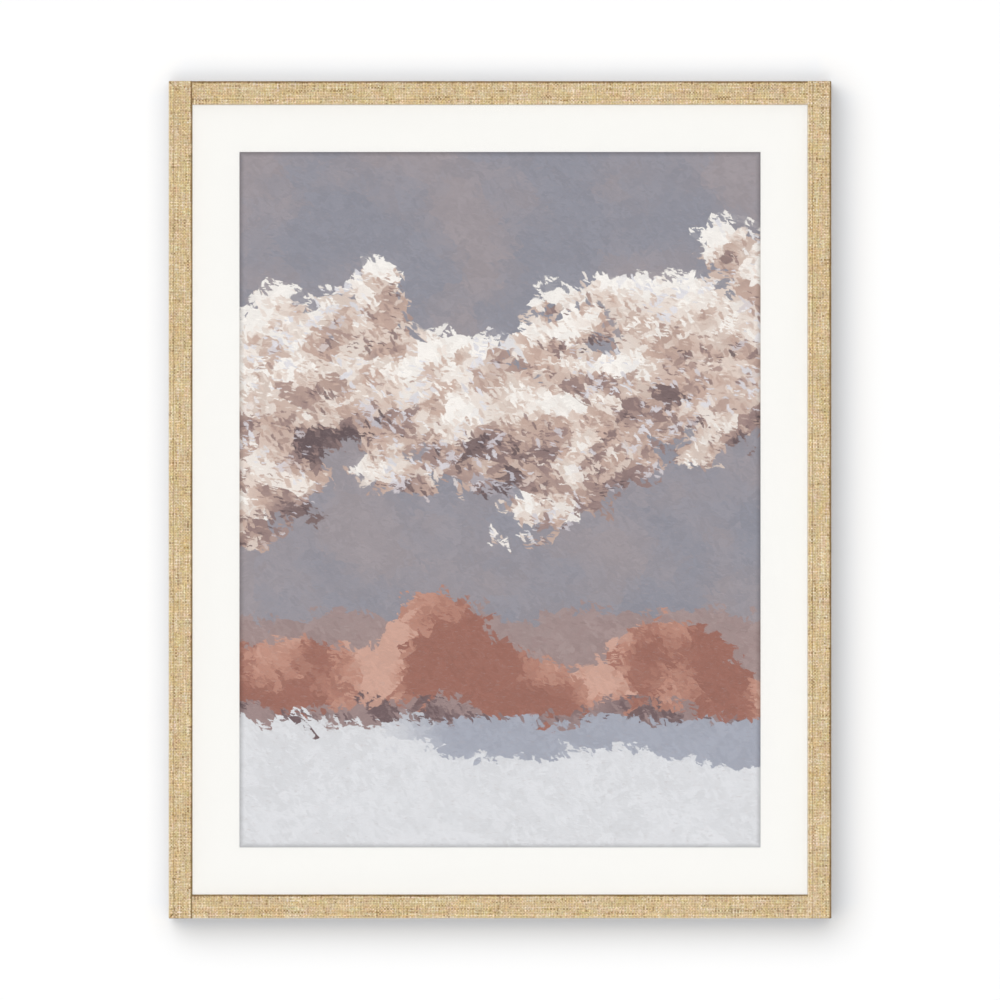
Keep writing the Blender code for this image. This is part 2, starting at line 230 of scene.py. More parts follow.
# The section from the back edge over the outer side, the face and the sight edge, as it lies in the strip
class Section:
    def __init__(self, beadOutside):
        rounds = (cover["beadRound"], cover["arris"])
        first, last = rounds if beadOutside else rounds[::-1]
        points = [(0.0, cover["back"])] + arcPoints(first, front + first, first, 180, 270)
        points += arcPoints(cover["face"] - last, front + last, last, 270, 360)
        points.append((cover["face"], cover["lipBack"]))
        corners = np.array(points)
        steps = np.hypot(*np.diff(corners, axis=0).T)
        along = np.concatenate([[0.0], np.cumsum(steps)])
        self.length = along[-1]
        self.s = np.linspace(0, self.length, 6000)
        self.x = np.interp(self.s, along, corners[:, 0])
        self.y = np.interp(self.s, along, corners[:, 1])
        smooth = np.ones(61) / 61
        dx = np.convolve(np.pad(np.gradient(self.x, self.s), 30, "edge"), smooth, "valid")
        dy = np.convolve(np.pad(np.gradient(self.y, self.s), 30, "edge"), smooth, "valid")
        size = np.hypot(dx, dy)
        self.nx, self.ny = dy / size, -dx / size
        side = cover["back"] - front - first + first * math.pi / 2  # length up to the face's flat part
        flat = cover["face"] - first - last
        if beadOutside:
            self.grooveAt = side + cover["bead"] - first
            self.arrisAt = side + flat + last * math.pi / 4
            self.sign = -1.0
        else:
            self.grooveAt = side + flat + last - cover["bead"]
            self.arrisAt = side - first * math.pi / 4
            self.sign = 1.0
        # Columns half a thread apart, with one on the groove's middle
        before = 2 * round(self.grooveAt / cover["pitch"])
        after = 2 * round((self.length - self.grooveAt) / cover["pitch"])
        self.columns = np.concatenate([
            np.linspace(0, self.grooveAt, before + 1), np.linspace(self.grooveAt, self.length, after + 1)[1:]
        ])

    def at(self, s, inset):
        x, y, nx, ny = (np.interp(s, self.s, values) for values in (self.x, self.y, self.nx, self.ny))
        return x - nx * inset, y - ny * inset

    def dip(self, s):  # the pressed groove, and the bead that falls away to it
        fromGroove = (s - self.grooveAt) * -self.sign
        groove = cover["groove"] * np.exp(-((fromGroove / 0.0005) ** 2))
        bead = np.clip(1 - np.abs(fromGroove + 0.0008) / 0.0016, 0, 1) * (fromGroove < 0)
        return groove + cover["beadDrop"] * bead


# Random values that change smoothly along one axis and freely across the other
def drift(chance, steps, lanes, spacing):
    knots = chance.standard_normal((steps // spacing + 3, lanes))
    spot = np.arange(steps) / spacing
    low = spot.astype(int)
    part = (spot - low)[:, None]
    part = part * part * (3 - 2 * part)
    return knots[low] * (1 - part) + knots[low + 1] * part


def threadRelief(chance, rows, columns):
    j, i = np.mgrid[0:rows, 0:columns]
    onWarp, onWeft = i % 2 == 1, j % 2 == 1
    base = np.where(onWarp & onWeft, 0.0, np.where(onWarp | onWeft, 0.42, 1.0))
    warpThick = np.repeat(drift(chance, rows, columns // 2 + 2, 18), 2, axis=1)[:, :columns]
    weftThick = np.repeat(drift(chance, columns, rows // 2 + 2, 12), 2, axis=1)[:, :rows].T
    thick = np.clip(0.5 + 0.2 * (warpThick + weftThick), 0, 1)
    gapDepth = 0.8 + 0.3 * np.clip(chance.standard_normal((rows, columns)), -1.5, 1.5)
    return cover["relief"] * (base * np.clip(gapDepth, 0.3, 1.3) + (1 - thick) * 0.4)


def strayFields(chance, rows, columns):
    calmRows = np.clip(np.minimum(np.arange(rows), np.arange(rows)[::-1]) / 6, 0, 1)[:, None]
    calmColumns = np.clip(np.minimum(np.arange(columns), np.arange(columns)[::-1]) / 5, 0, 1)[None, :]
    sideways = drift(chance, rows, columns, 30) * 0.6 + drift(chance, rows, columns, 9) * 0.4
    lengthways = (drift(chance, columns, rows, 16) * 0.7 + drift(chance, columns, rows, 5) * 0.3).T
    calm = calmRows * calmColumns * cover["stray"]
    return np.clip(sideways, -2, 2) * calm, np.clip(lengthways, -2, 2) * calm


# One closed tube of cloth: the woven outside, the rims and a plain inner wall. The grid's first and last
# columns are the same line.
def clothTube(section, last, rowPlaces, turnIn, chance, strip, folds, seam):
    rows, outer = len(rowPlaces), last + 1
    s = section.columns[:outer]
    lipEnd = section.at(s[-1:], 0.0)
    x1, y1 = float(lipEnd[0][0]), float(lipEnd[1][0])
    t = cover["thick"]
    if last == len(section.columns) - 1:
        inner = [(x1 - t, y1), (x1 - t, front + t), (t, front + t), (t, cover["back"])]
    else:
        inner = [(t, y1), (t, cover["back"])]
    count = outer + len(inner) + 1
    bm = bmesh.new()
    bmesh.ops.create_grid(bm, x_segments=count - 1, y_segments=rows - 1, size=0.5)
    mesh = bpy.data.meshes.new("tube")
    bm.to_mesh(mesh)
    bm.free()
    co = np.zeros(len(mesh.vertices) * 3, np.float32)
    mesh.vertices.foreach_get("co", co)
    co = co.reshape(-1, 3)
    column = np.rint((co[:, 0] + 0.5) * (count - 1)).astype(int)
    row = np.rint((co[:, 1] + 0.5) * (rows - 1)).astype(int)

    relief = threadRelief(chance, rows, outer)
    sideways, lengthways = strayFields(chance, rows, outer)
    relief[:, [0, -1]] = cover["relief"] * 0.3
    across = s[None, :] + sideways
    inset = relief + section.dip(across) + turnIn[:, None]
    px, py = section.at(across, inset)
    pz = rowPlaces[:, None] + lengthways
    ix = np.array([[p[0] for p in inner]] * rows)
    iy = np.array([[p[1] for p in inner]] * rows)
    iz = np.repeat(rowPlaces[:, None], len(inner), axis=1)
    x, y, z = (np.hstack([a, b, a[:, :1]]) for a, b in ((px, ix), (py, iy), (pz, iz)))
    co[:, 0], co[:, 1], co[:, 2] = x[row, column], y[row, column], z[row, column]
    mesh.vertices.foreach_set("co", co.ravel())

    # Threads are numbered in both directions; the third value is the distance from the dark arris
    fromArris = (s - section.arrisAt) * section.sign
    fromArris = np.concatenate([fromArris, [cover["unmarked"]] * (count - outer)])
    apart, rowsApart = cover["numbering"]
    values = np.zeros((len(co), 3), np.float32)
    values[:, 0] = column / 2 + strip * apart
    values[:, 1] = (row + rowStart(rowPlaces)) / 2 + strip * rowsApart
    values[:, 2] = fromArris[column]
    mesh.attributes.new("weave", "FLOAT_VECTOR", "POINT").data.foreach_set("vector", values.ravel())
    marks = np.tile(np.float32(strips[strip]["marks"]), len(co))
    mesh.attributes.new("marks", "FLOAT_VECTOR", "POINT").data.foreach_set("vector", marks)

    # The map for baking: the tube's length folded into a few rows side by side
    corner = np.zeros(len(mesh.loops), int)
    mesh.loops.foreach_get("vertex_index", corner)
    wide = np.concatenate([np.linspace(0, 0.96, outer), np.linspace(0.96, 1.0, count - outer + 1)[1:]])
    quads = row[corner].reshape(-1, 4)
    perFold = math.ceil((rows - 1) / folds)
    fold = np.repeat(quads.min(axis=1) // perFold, 4)
    u = seam[0] + (wide[column[corner]] + fold) / folds * (seam[1] - seam[0])
    v = seam[2] + (row[corner] - fold * perFold) / perFold * (seam[3] - seam[2])
    spots = np.column_stack([u, v]).astype(np.float32)
    mesh.uv_layers.new(name="OFBake").data.foreach_set("uv", spots.ravel())
    return mesh


def rowStart(rowPlaces):  # keeps the thread numbers even and in step along a strip
    return 2 * round(float(rowPlaces[0] + 0.5) / cover["pitch"])


def mapFlat(bm, faces, u0, u1, v0, v1):  # lays the small faces into one corner of the map
    layer = bm.loops.layers.uv["OFBake"]
    corners = [loop for face in faces for loop in face.loops]
    for axis, (start, end) in ((0, (u0, u1)), (1, (v0, v1))):
        values = [loop.vert.co[axis] for loop in corners]
        low, span = min(values), max(max(values) - min(values), 1e-9)
        for loop, value in zip(corners, values):
            loop[layer].uv[axis] = start + (value - low) / span * (end - start)


def joinCloth(tubes):
    bm = bmesh.new()
    for spot, tube in enumerate(tubes):
        bm.from_mesh(tube)
        bpy.data.meshes.remove(tube)
        fresh = [v for v in bm.verts if v.is_boundary]
        bmesh.ops.remove_doubles(bm, verts=fresh, dist=1e-7)
        rims = [edge for edge in bm.edges if edge.is_boundary]
        filled = bmesh.ops.holes_fill(bm, edges=rims, sides=0)["faces"]
        for number, face in enumerate(filled):
            left = 0.3 + 0.1 * spot + 0.045 * number
            mapFlat(bm, [face], left, left + 0.04, 0.9, 0.99)
    return bm


# A stile's end: a panel of the same cloth let in between the cover's folded edges
def endPanel(bm, side, chance, strip):
    t, wallU, lipBack = cover["thick"], cover["wallU"], cover["lipBack"]
    us = np.concatenate([np.linspace(t, wallU, 21), np.linspace(wallU, cover["face"] - t, 9)[1:]])
    ys = np.concatenate([np.linspace(front + t, lipBack, 9), np.linspace(lipBack, cover["back"], 35)[1:]])
    piece = bmesh.new()
    layer = piece.verts.layers.float_vector.new("weave")
    piece.loops.layers.uv.new("OFBake")
    bmesh.ops.create_grid(piece, x_segments=len(us) - 1, y_segments=len(ys) - 1, size=0.5)
    relief = threadRelief(chance, len(ys), len(us))
    apart, rowsApart = cover["numbering"]
    cornered = []
    for vert in piece.verts:
        i = round((vert.co.x + 0.5) * (len(us) - 1))
        j = round((vert.co.y + 0.5) * (len(ys) - 1))
        edge = i in (0, len(us) - 1) or j in (0, len(ys) - 1)
        drop = cover["relief"] * 0.5 if edge else relief[j, i]
        vert.co = (us[i], ys[j], side * (halfTall - drop))
        warp, weft = i / 2 + (strip + 0.5) * apart, j / 2 + (strip + 0.5 + side * 0.05) * rowsApart
        vert[layer] = (warp, weft, cover["unmarked"])
        if us[i] > wallU + 1e-6 and ys[j] > lipBack + 1e-6:
            cornered.append(vert)
    bmesh.ops.delete(piece, geom=cornered, context="VERTS")
    woven = list(piece.faces)
    left = 0.0 if side > 0 else 0.11
    mapFlat(piece, woven, left, left + 0.1, 0.86, 0.995)
    grown = bmesh.ops.extrude_face_region(piece, geom=woven, use_keep_orig=True)["geom"]
    moved = [item for item in grown if isinstance(item, bmesh.types.BMVert)]
    for vert in moved:
        vert.co.z = side * (halfTall - t)
    hidden = [face for face in piece.faces if face not in set(woven)]
    mapFlat(piece, hidden, left + 0.22, left + 0.3, 0.86, 0.89)
    bmesh.ops.recalc_face_normals(piece, faces=piece.faces)
    mesh = bpy.data.meshes.new("panel")
    piece.to_mesh(mesh)
    piece.free()
    bm.from_mesh(mesh)
    bpy.data.meshes.remove(mesh)


# The marks are the strength of the groove's painted shade, the stain's extra width on the dark arris,
# and 1 where the folded corners get a painted crease shade
strips = [
    {"node": "left_stile_cover", "origin": (-halfWide, 0, middle), "turn": 0, "beadOutside": True,
     "marks": (0.5, -0.00022, 1.0)},
    {"node": "right_stile_cover", "origin": (halfWide, 0, middle), "turn": 180, "beadOutside": False,
     "marks": (0.55, 0.00012, 0.0)},
    {"node": "top_rail_cover", "origin": (0, 0, boxHigh[2]), "turn": 90, "beadOutside": False,
     "marks": (0.15, 0.0, 0.0)},
    {"node": "bottom_rail_cover", "origin": (0, 0, boxLow[2]), "turn": -90, "beadOutside": True,
     "marks": (0.2, -0.00012, 0.0)},
]


def coverStrips(cloth):
    for number, strip in enumerate(strips):
        name = strip["node"]
        chance = np.random.default_rng(40 + number)
        section = Section(strip["beadOutside"])
        last = len(section.columns) - 1
        if "stile" in name:
            fold = 0.0006  # the cloth turns in over the end with this radius
            run = halfTall - fold
            count = 2 * round(2 * run / cover["pitch"])
            flatRows = np.linspace(-run, run, count + 1)
            bent = fold * math.sin(math.radians(45))
            rowPlaces = np.concatenate([[-halfTall, -run - bent], flatRows, [run + bent, halfTall]])
            turned = fold * (1 - math.cos(math.radians(45)))
            turnIn = np.concatenate([[fold, turned], np.zeros(count + 1), [turned, fold]])
            tubes = [clothTube(section, last, rowPlaces, turnIn, chance, number, 4, cover["map"])]
            bm = joinCloth(tubes)
            bmesh.ops.recalc_face_normals(bm, faces=bm.faces)
            for side in (-1, 1):
                endPanel(bm, side, chance, number)
        else:
            end, tab = cover["railEnd"], cover["railTab"]
            count = 2 * round(2 * end / cover["pitch"])
            rowPlaces = np.linspace(-end, end, count + 1)
            lip = int(np.searchsorted(section.columns, cover["back"] - cover["lipBack"] - 0.0003)) - 1
            straight = np.zeros(count + 1)
            tubes = [clothTube(section, last, rowPlaces, straight, chance, number, 3, cover["map"])]
            for side in (-1, 1):
                reach = np.linspace(*sorted((side * end, side * tab)), 11)
                area = cover["lowTabMap"] if side < 0 else cover["highTabMap"]
                tubes.append(clothTube(section, lip, reach, np.zeros(11), chance, number, 1, area))
            bm = joinCloth(tubes)
            bmesh.ops.recalc_face_normals(bm, faces=bm.faces)
        place = Matrix.Translation(strip["origin"]) @ Matrix.Rotation(math.radians(strip["turn"]), 4, "Y")
        bmesh.ops.transform(bm, matrix=place, verts=bm.verts)
        mesh = bpy.data.meshes.new(name)
        bm.to_mesh(mesh)
        bm.free()
        mesh.shade_smooth()
        mesh.set_sharp_from_angle(angle=math.radians(62))
        addPiece("woven_" + name, mesh, [cloth], name, slot="woven_cover")
        print(name, "woven:", sum(len(p.vertices) - 2 for p in mesh.polygons), "triangles")


clothTones = {
    "warp": (0.516, 0.390, 0.222, 1.0),
    "weft": (0.566, 0.442, 0.267, 1.0),
    "light": (0.765, 0.66, 0.485, 1.0),
    # the tone of the painted highlight on the bead-side edge
    "rimHighlightTone": (0.80, 0.74, 0.62, 1.0),
    # dark threads, and the painted shade in the thread gaps and the groove
    "darkThreadAndShade": (0.175, 0.098, 0.032, 1.0),
    "redder": (0.37, -0.17, -0.21),  # how two hues that wander apart change red, green and blue
    "yellower": (0.09, 0.10, -0.95),
    "paler": (0.18, 0.24, 0.38),  # the same for the slow mottling of the dye
    # the stain's tone, also used for the painted shade of the corner crease
    "stainAndCreaseShade": (0.41, 0.345, 0.27),
    "poolAt": 220.4,  # where the stain has pooled on both rails, in millimetres
}


def wovenCloth():
    p = Paint("wovenCloth")
    threads = p.node("ShaderNodeAttribute", {"attribute_name": "weave"}, None, 1)
    across, along, fromArris = p.split(threads)
    warp, weft = p.number("FLOOR", across), p.number("FLOOR", along)
    warpOver = (warp + weft) % 2.0
    a = abs(across - warp - 0.5) * 2.0  # 0 on the thread's middle, 1 between threads
    b = abs(along - weft - 0.5) * 2.0
    side = a * warpOver + b * (1.0 - warpOver)
    dive = b * warpOver + a * (1.0 - warpOver)

    # Each thread has its own tone, which drifts along it
    warpTone = p.noise(p.point(warp * 3.17, along * 0.045), 1.0, 3.0, 0.62, flat=True)
    weftTone = p.noise(p.point(weft * 4.31, across * 0.10 + 70.0), 1.0, 3.0, 0.62, flat=True)
    tone = warpTone * warpOver + weftTone * (1.0 - warpOver)
    fibreSide = across * warpOver + along * (1.0 - warpOver)
    fibreRun = along * warpOver + across * (1.0 - warpOver)
    fibre = p.noise(p.point(fibreSide * 7.0, fibreRun * 1.1), 1.0, 2.0, 0.6, flat=True)
    knot = p.noise(p.point(across * 0.55, along * 0.62), 1.0, 1.0, 0.5, flat=True)

    height = 1.0 - side * side * 0.62 - dive * dive * 0.38
    colour = p.mix(warpOver, clothTones["weft"], clothTones["warp"])
    colour = p.mix(p.fade(tone, 0.52, 0.74) * 0.74, colour, clothTones["light"])
    colour = p.mix(p.fade(tone, 0.44, 0.26) * 0.76, colour, clothTones["darkThreadAndShade"])
    colour = p.mix(p.fade(knot, 0.6, 0.78) * 0.42, colour, clothTones["light"])
    colour = p.shade(colour, 0.72 + fibre * 0.56)
    # painted shade in the gaps between threads and along the threads' edges
    threadGapShade = p.fade(a * b + side * 0.35 + (0.5 - knot) * 1.0, 0.56, 1.02)
    colour = p.mix(threadGapShade, colour, clothTones["darkThreadAndShade"])

    # The hue wanders along each thread, and the dye is slowly mottled
    def wander(seed):
        onWarp = p.noise(p.point(warp * 2.73 + seed, along * 0.09), 1.0, 2.0, 0.6, flat=True)
        onWeft = p.noise(p.point(weft * 3.39 + seed, across * 0.16), 1.0, 2.0, 0.6, flat=True)
        patch = p.noise(p.point(across * 0.17 + seed, along * 0.12), 1.0, 2.0, 0.5, flat=True)
        return (onWarp * warpOver + onWeft * (1.0 - warpOver)) * 0.7 + patch * 0.3 - 0.5

    place = p.place()
    mottle = p.noise(place, 1 / 46, 3.0, 0.55) - 0.5
    changes = ((wander(40.0), "redder"), (wander(95.0), "yellower"), (mottle, "paler"))
    levels = [1.0 + sum(value * clothTones[kind][i] for value, kind in changes) for i in range(3)]
    colour = p.mix(1.0, colour, p.node("ShaderNodeCombineColor", None, dict(enumerate(levels))), "MULTIPLY")

    # The dark arris stain; painted shade in the pressed groove and the creased corners; painted highlights on
    # the bead and edges
    marks = p.node("ShaderNodeAttribute", {"attribute_name": "marks"}, None, 1)
    grooveShadeStrength, wider, creaseShadeOn = p.split(marks)
    ragged = p.noise(p.point(along * 0.5, across * 0.3), 1.0, 2.0, flat=True)
    worn = p.noise(p.point(along * 0.035, 3.0), 1.0, 2.0, flat=True)
    x, y, z = p.split(place)
    pool = p.fade(abs(x - clothTones["poolAt"]), 0.3, 1.3, 1.0, 0.0)
    reach = 0.0026 - ragged * 0.0010 - worn * 0.0009 + pool * 0.0012 + wider
    arris = p.fade(abs(fromArris - 0.0002) - reach, -0.0006, 0.0, 1.0, 0.0)
    # painted shade darkens the pressed groove
    groove = p.fade(abs(fromArris - 0.01625), 0.0001, 0.0007, 1.0, 0.0) * (0.25 + knot) * grooveShadeStrength
    # painted highlights: lighter on the bead and on the groove's far edge
    bead = p.fade(fromArris, 0.0168, 0.0172) * p.fade(fromArris, 0.0183, 0.0190, 1.0, 0.0)
    ridgeHighlight = p.fade(fromArris, 0.0142, 0.0146) * p.fade(fromArris, 0.0152, 0.0156, 1.0, 0.0)
    colour = p.shade(colour, 1.0 + bead * 0.08 + ridgeHighlight * 0.04)
    colour = p.mix(groove, colour, clothTones["darkThreadAndShade"])
    inward = x + halfWide * 1000.0
    # a painted shade of a fold crosses the folded corner, in the stain's tone
    fold = abs(inward - halfTall * 1000.0 + abs(z - middle * 1000.0)) + ragged * 0.8
    creaseShade = p.fade(fold, 0.8, 1.4, 1.0, 0.0) * p.fade(inward, 3.6, 5.0, 1.0, 0.0) * creaseShadeOn
    stainedAndCreaseShaded = p.mix(1.0, colour, (*clothTones["stainAndCreaseShade"], 1.0), "MULTIPLY")
    colour = p.mix(arris * (1.25 - worn * 0.5), colour, stainedAndCreaseShaded)
    colour = p.mix(creaseShade * 0.85, colour, stainedAndCreaseShaded)
    # painted highlight along the bead-side outer edge
    rimHighlight = p.fade(fromArris, 0.0198, 0.0204) * p.fade(fromArris, 0.0212, 0.0214, 1.0, 0.0)
    colour = p.mix(rimHighlight * 0.3, colour, clothTones["rimHighlightTone"])
    normal = p.bump(height * 0.7 + fibre * 0.35, 0.00016, 0.9)
    return p.close({
        "Base Color": colour, "Roughness": 0.78 + fibre * 0.2, "Specular IOR Level": 0.25, "Normal": normal,
        "Sheen Weight": 0.12, "Sheen Roughness": 0.5,
    })


coverStrips(wovenCloth())


sheetTones = {
    "mat": (0.880, 0.862, 0.841, 1.0),
    "core": (0.97, 0.965, 0.945, 1.0),
    "barePaper": (0.86, 0.85, 0.82, 1.0),
    "cockle": 0.00012,  # how far the print's sheet waves
}


# A CAD node's mesh, copied, merged and with its sharp edges taken off
def softened(name, width):
    bm = bmesh.new()
    bm.from_mesh(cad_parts[name].data)
    bmesh.ops.remove_doubles(bm, verts=bm.verts, dist=1e-6)
    bmesh.ops.dissolve_limit(bm, angle_limit=math.radians(1), verts=bm.verts, edges=bm.edges)
    sharp = [e for e in bm.edges if len(e.link_faces) == 2 and e.calc_face_angle(0) > math.radians(25)]
    bmesh.ops.bevel(
        bm, geom=sharp, offset=width, segments=2, profile=0.5, affect="EDGES", material=-1, clamp_overlap=True
    )
    return bm


def meshFrom(bm, name, smoothAngle=40):
    mesh = bpy.data.meshes.new(name)
    bm.to_mesh(mesh)
    bm.free()
    mesh.shade_smooth()
    mesh.set_sharp_from_angle(angle=math.radians(smoothAngle))
    return mesh


def matPaper(name, colour, grain):
    p = Paint(name)
    place = p.place()
    fine = p.noise(place, 2.2, 3.0, 0.6)
    broad = p.noise(place, 0.02, 2.0)
    tone = p.shade(colour, 0.985 + fine * 0.02 + broad * 0.01)
    return p.close({
        "Base Color": tone, "Roughness": 0.86 + fine * 0.1, "Specular IOR Level": 0.2,
        "Normal": p.bump(fine, grain, 0.6),
    })


def addMat():
    bm = softened("window_mat", 0.00012)
    bm.normal_update()
    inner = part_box("window_mat")[0].x + 0.03
    for face in bm.faces:
        spot = face.calc_center_median()
        nearWindow = abs(spot.x) < -inner and abs(spot.z - middle) < halfTall - 0.05
        face.material_index = 1 if nearWindow and abs(face.normal.y) < 0.9 else 0
    mesh = meshFrom(bm, "window_mat_board", 30)
    facePaper = matPaper("matFace", sheetTones["mat"], 0.00006)
    corePaper = matPaper("matCore", sheetTones["core"], 0.00003)
    addPiece("window_mat_board", mesh, [facePaper, corePaper], "window_mat", slot="mat_board")


addMat()

# A generic painted landscape: a bank of cloud over clay hills and a pale plain, in dabs of flat paint
art = {
    "sky": rgb(146, 146, 157),
    "skyWarm": rgb(160, 152, 157),
    "haze": rgb(178, 161, 159),
    "cloud": [
        (0.0, rgb(104, 88, 91)), (0.26, rgb(153, 129, 126)), (0.46, rgb(199, 172, 160)),
        (0.66, rgb(226, 211, 202)), (0.85, rgb(247, 242, 238)),
    ],
    "coolLight": rgb(213, 212, 223),
    "farRidge": rgb(158, 136, 135),
    "clay": [(0.3, rgb(158, 108, 96)), (0.48, rgb(190, 141, 125)), (0.66, rgb(208, 166, 151))],
    "nearRidge": rgb(114, 94, 97),
    "plain": rgb(222, 222, 226),
    "plainShade": rgb(168, 171, 184),
    # length and width of the dabs, their turn, a seed, how many show and how far each reaches, jitter
    "dabs": [
        (30.0, 15.0, 0.5, 3.1, None, 0.5),
        (19.0, 8.0, -0.6, 17.3, (0.62, 0.5), 0.9),
        (11.0, 3.8, 1.0, 41.9, (0.55, 0.48), 1.0),
        (7.0, 1.7, 0.2, 63.7, (0.4, 0.45), 1.0),
    ],
    "light": 0.93,
    "half": (228.5, 305.0),  # the window's half width and height
}


def heaps(p, place):  # rounded heaps with creases between them
    coarse = p.noise(place, 1 / 135, 0.0, flat=True)
    fine = p.noise(place + (310.0, 70.0, 0.0), 1 / 58, 1.0, flat=True)
    return abs(coarse - 0.5) * 2.6 + abs(fine - 0.5) * 1.5


def cloudDepth(p, place):
    x, z, _ = p.split(place)
    centre = p.noise(p.point(x * 0.0052, 3.7), 1.0, 0.0, flat=True) * 150.0 + x * 0.22 + 18.0
    lift = (z - centre) / 92.0
    return 0.1 - lift * lift * 0.62 + heaps(p, place)


def compose(p, place, jitter):  # the picture's colour at a point, in millimetres from its middle
    x, z, _ = p.split(place)

    def line(stretch, seed, detail, height, base):  # a wandering skyline
        return p.noise(p.point(x * stretch, seed), 1.0, detail, flat=True) * height + base

    colour = p.mix(p.fade(p.noise(place, 0.011, 3.0, flat=True), 0.35, 0.68), art["sky"], art["skyWarm"])
    depth = cloudDepth(p, place)
    lit = (depth - cloudDepth(p, place + (-8.0, 13.0, 0.0))) * 1.25 + 0.53 + (jitter - 0.5) * 0.5
    cloud = p.node("ShaderNodeValToRGB", {"stops": art["cloud"]}, {0: lit})
    cool = p.fade(jitter, 0.72, 0.76) * p.fade(p.noise(place, 0.017, 1.0, flat=True), 0.45, 0.55)
    cloud = p.mix(cool * 0.7, cloud, art["coolLight"])
    colour = p.mix(depth > 0.0, colour, cloud)
    far = line(0.0085, 11.3, 2.0, 60.0, -134.0)
    colour = p.mix(z < far, colour, p.mix(jitter * 0.5, art["farRidge"], art["haze"]))
    hill = line(0.0075, 5.2, 1.0, 190.0, -228.0)
    beside = p.noise(p.point((x + 12.0) * 0.0075, 5.2), 1.0, 1.0, flat=True) * 190.0 - 228.0
    facet = (beside - hill) * 0.022 + 0.52 - (hill - z) * 0.0035
    facet = facet + (p.noise(place, 0.02, 0.0, flat=True) - 0.5) * 0.5 + (jitter - 0.5) * 0.14
    colour = p.mix(z < hill, colour, p.node("ShaderNodeValToRGB", {"stops": art["clay"]}, {0: facet}))
    dusk = p.fade(p.noise(place, 0.04, 1.0, flat=True) + (jitter - 0.5) * 0.3, 0.4, 0.6)
    near = line(0.008, 21.7, 1.0, 50.0, -208.0)
    colour = p.mix(z < near, colour, p.mix(dusk, art["nearRidge"], art["farRidge"]))
    shade = (z > line(0.007, 8.9, 1.0, 70.0, -258.0)) * p.fade(x, -120.0, -40.0)
    plain = p.mix(shade, art["plain"], art["plainShade"])
    return p.mix(z < line(0.01, 2.2, 1.0, 10.0, -198.0), colour, plain)


# Cells drawn out along one direction. Gives the distance from each cell's middle, that middle on the
# picture, three random values and the drawn-out place.
def dabCells(p, place, ragged, long, wide, turn, seed):
    start = (seed, seed * 0.7, 0.0)
    turned = p.node("ShaderNodeVectorRotate", {"rotation_type": "Z_AXIS"}, {"Vector": place, "Angle": turn})
    bend = (p.noise(place, 1 / (long * 5), 1.0, out=1, flat=True) - (0.5, 0.5, 0.5)) * (long * 1.1)
    local = (turned + bend) * (1 / long, 1 / wide, 1.0) + start + ragged * (6.0 / long, 6.0 / wide, 0.0)
    inputs = {"Vector": local, "Scale": 1.0, "Randomness": 0.95}
    reach = p.node("ShaderNodeTexVoronoi", {"voronoi_dimensions": "2D"}, inputs)
    outputs = reach.socket.node.outputs
    back = (Wire(p, outputs["Position"]) - start) * (long, wide, 1.0) - bend
    home = p.node("ShaderNodeVectorRotate", {"rotation_type": "Z_AXIS"}, {"Vector": back, "Angle": -turn})
    return reach, home, p.split(Wire(p, outputs["Color"])), local


def printedPaper():
    p = Paint("printedPaper")
    x, y, z = p.split(p.place())
    place = p.point(x, z - middle * 1000.0)
    ragged = p.noise(place, 0.11, 4.0, 0.72, out=1, flat=True) - (0.5, 0.5, 0.5)
    colour = None
    for long, wide, turn, seed, shown, swing in art["dabs"]:
        reach, home, luck, local = dabCells(p, place, ragged, long, wide, turn, seed)
        dab = compose(p, home, luck[0] * swing + (1 - swing) / 2)
        dab = p.shade(dab, 0.94 + luck[1] * 0.12)
        bristle = p.noise(local * (1.2, 14.0, 1.0), 1.0, 3.0, 0.6, flat=True)
        if shown:
            share, far = shown
            edge = reach + (bristle - 0.5) * 0.5
            colour = p.mix((luck[2] < share) * p.fade(edge, far - 0.1, far, 0.92, 0.0), colour, dab)
        else:
            colour = dab
        colour = p.mix(p.fade(bristle, 0.56, 0.75) * 0.14, colour, art["haze"])
        colour = p.shade(colour, 0.95 + bristle * 0.1)
    scumble = p.noise(place * (0.5, 1.3, 1.0), 1.0, 3.0, 0.7, flat=True)
    dry = p.noise(place * (0.16, 0.6, 1.0) + (50.0, 9.0, 0.0), 1.0, 4.0, 0.7, flat=True)
    colour = p.shade(p.mix(p.fade(dry, 0.6, 0.72) * 0.3, colour, art["haze"]), 0.965 + scumble * 0.07)
    # Painted shade: darker towards the mat on all sides, where the mat's edge would shade the picture, and
    # bare paper behind it
    _, height, _ = p.split(place)
    across, up = art["half"][0] - abs(x), art["half"][1] - abs(height)
    colour = p.shade(colour, p.fade(p.number("MINIMUM", across, up), -1.5, 5.2, 0.56, 1.0))
    inside = (across > -3.0) * (up > -3.0)
    grain = p.noise(p.place(), 3.0, 2.0, 0.6)
    colour = p.mix(inside, sheetTones["barePaper"], p.shade(colour, art["light"]))
    colour = p.shade(colour, 0.98 + grain * 0.04)
    return p.close({
        "Base Color": colour, "Roughness": 0.82 + grain * 0.1, "Specular IOR Level": 0.2,
        "Normal": p.bump(grain, 0.00003, 0.4),
    })


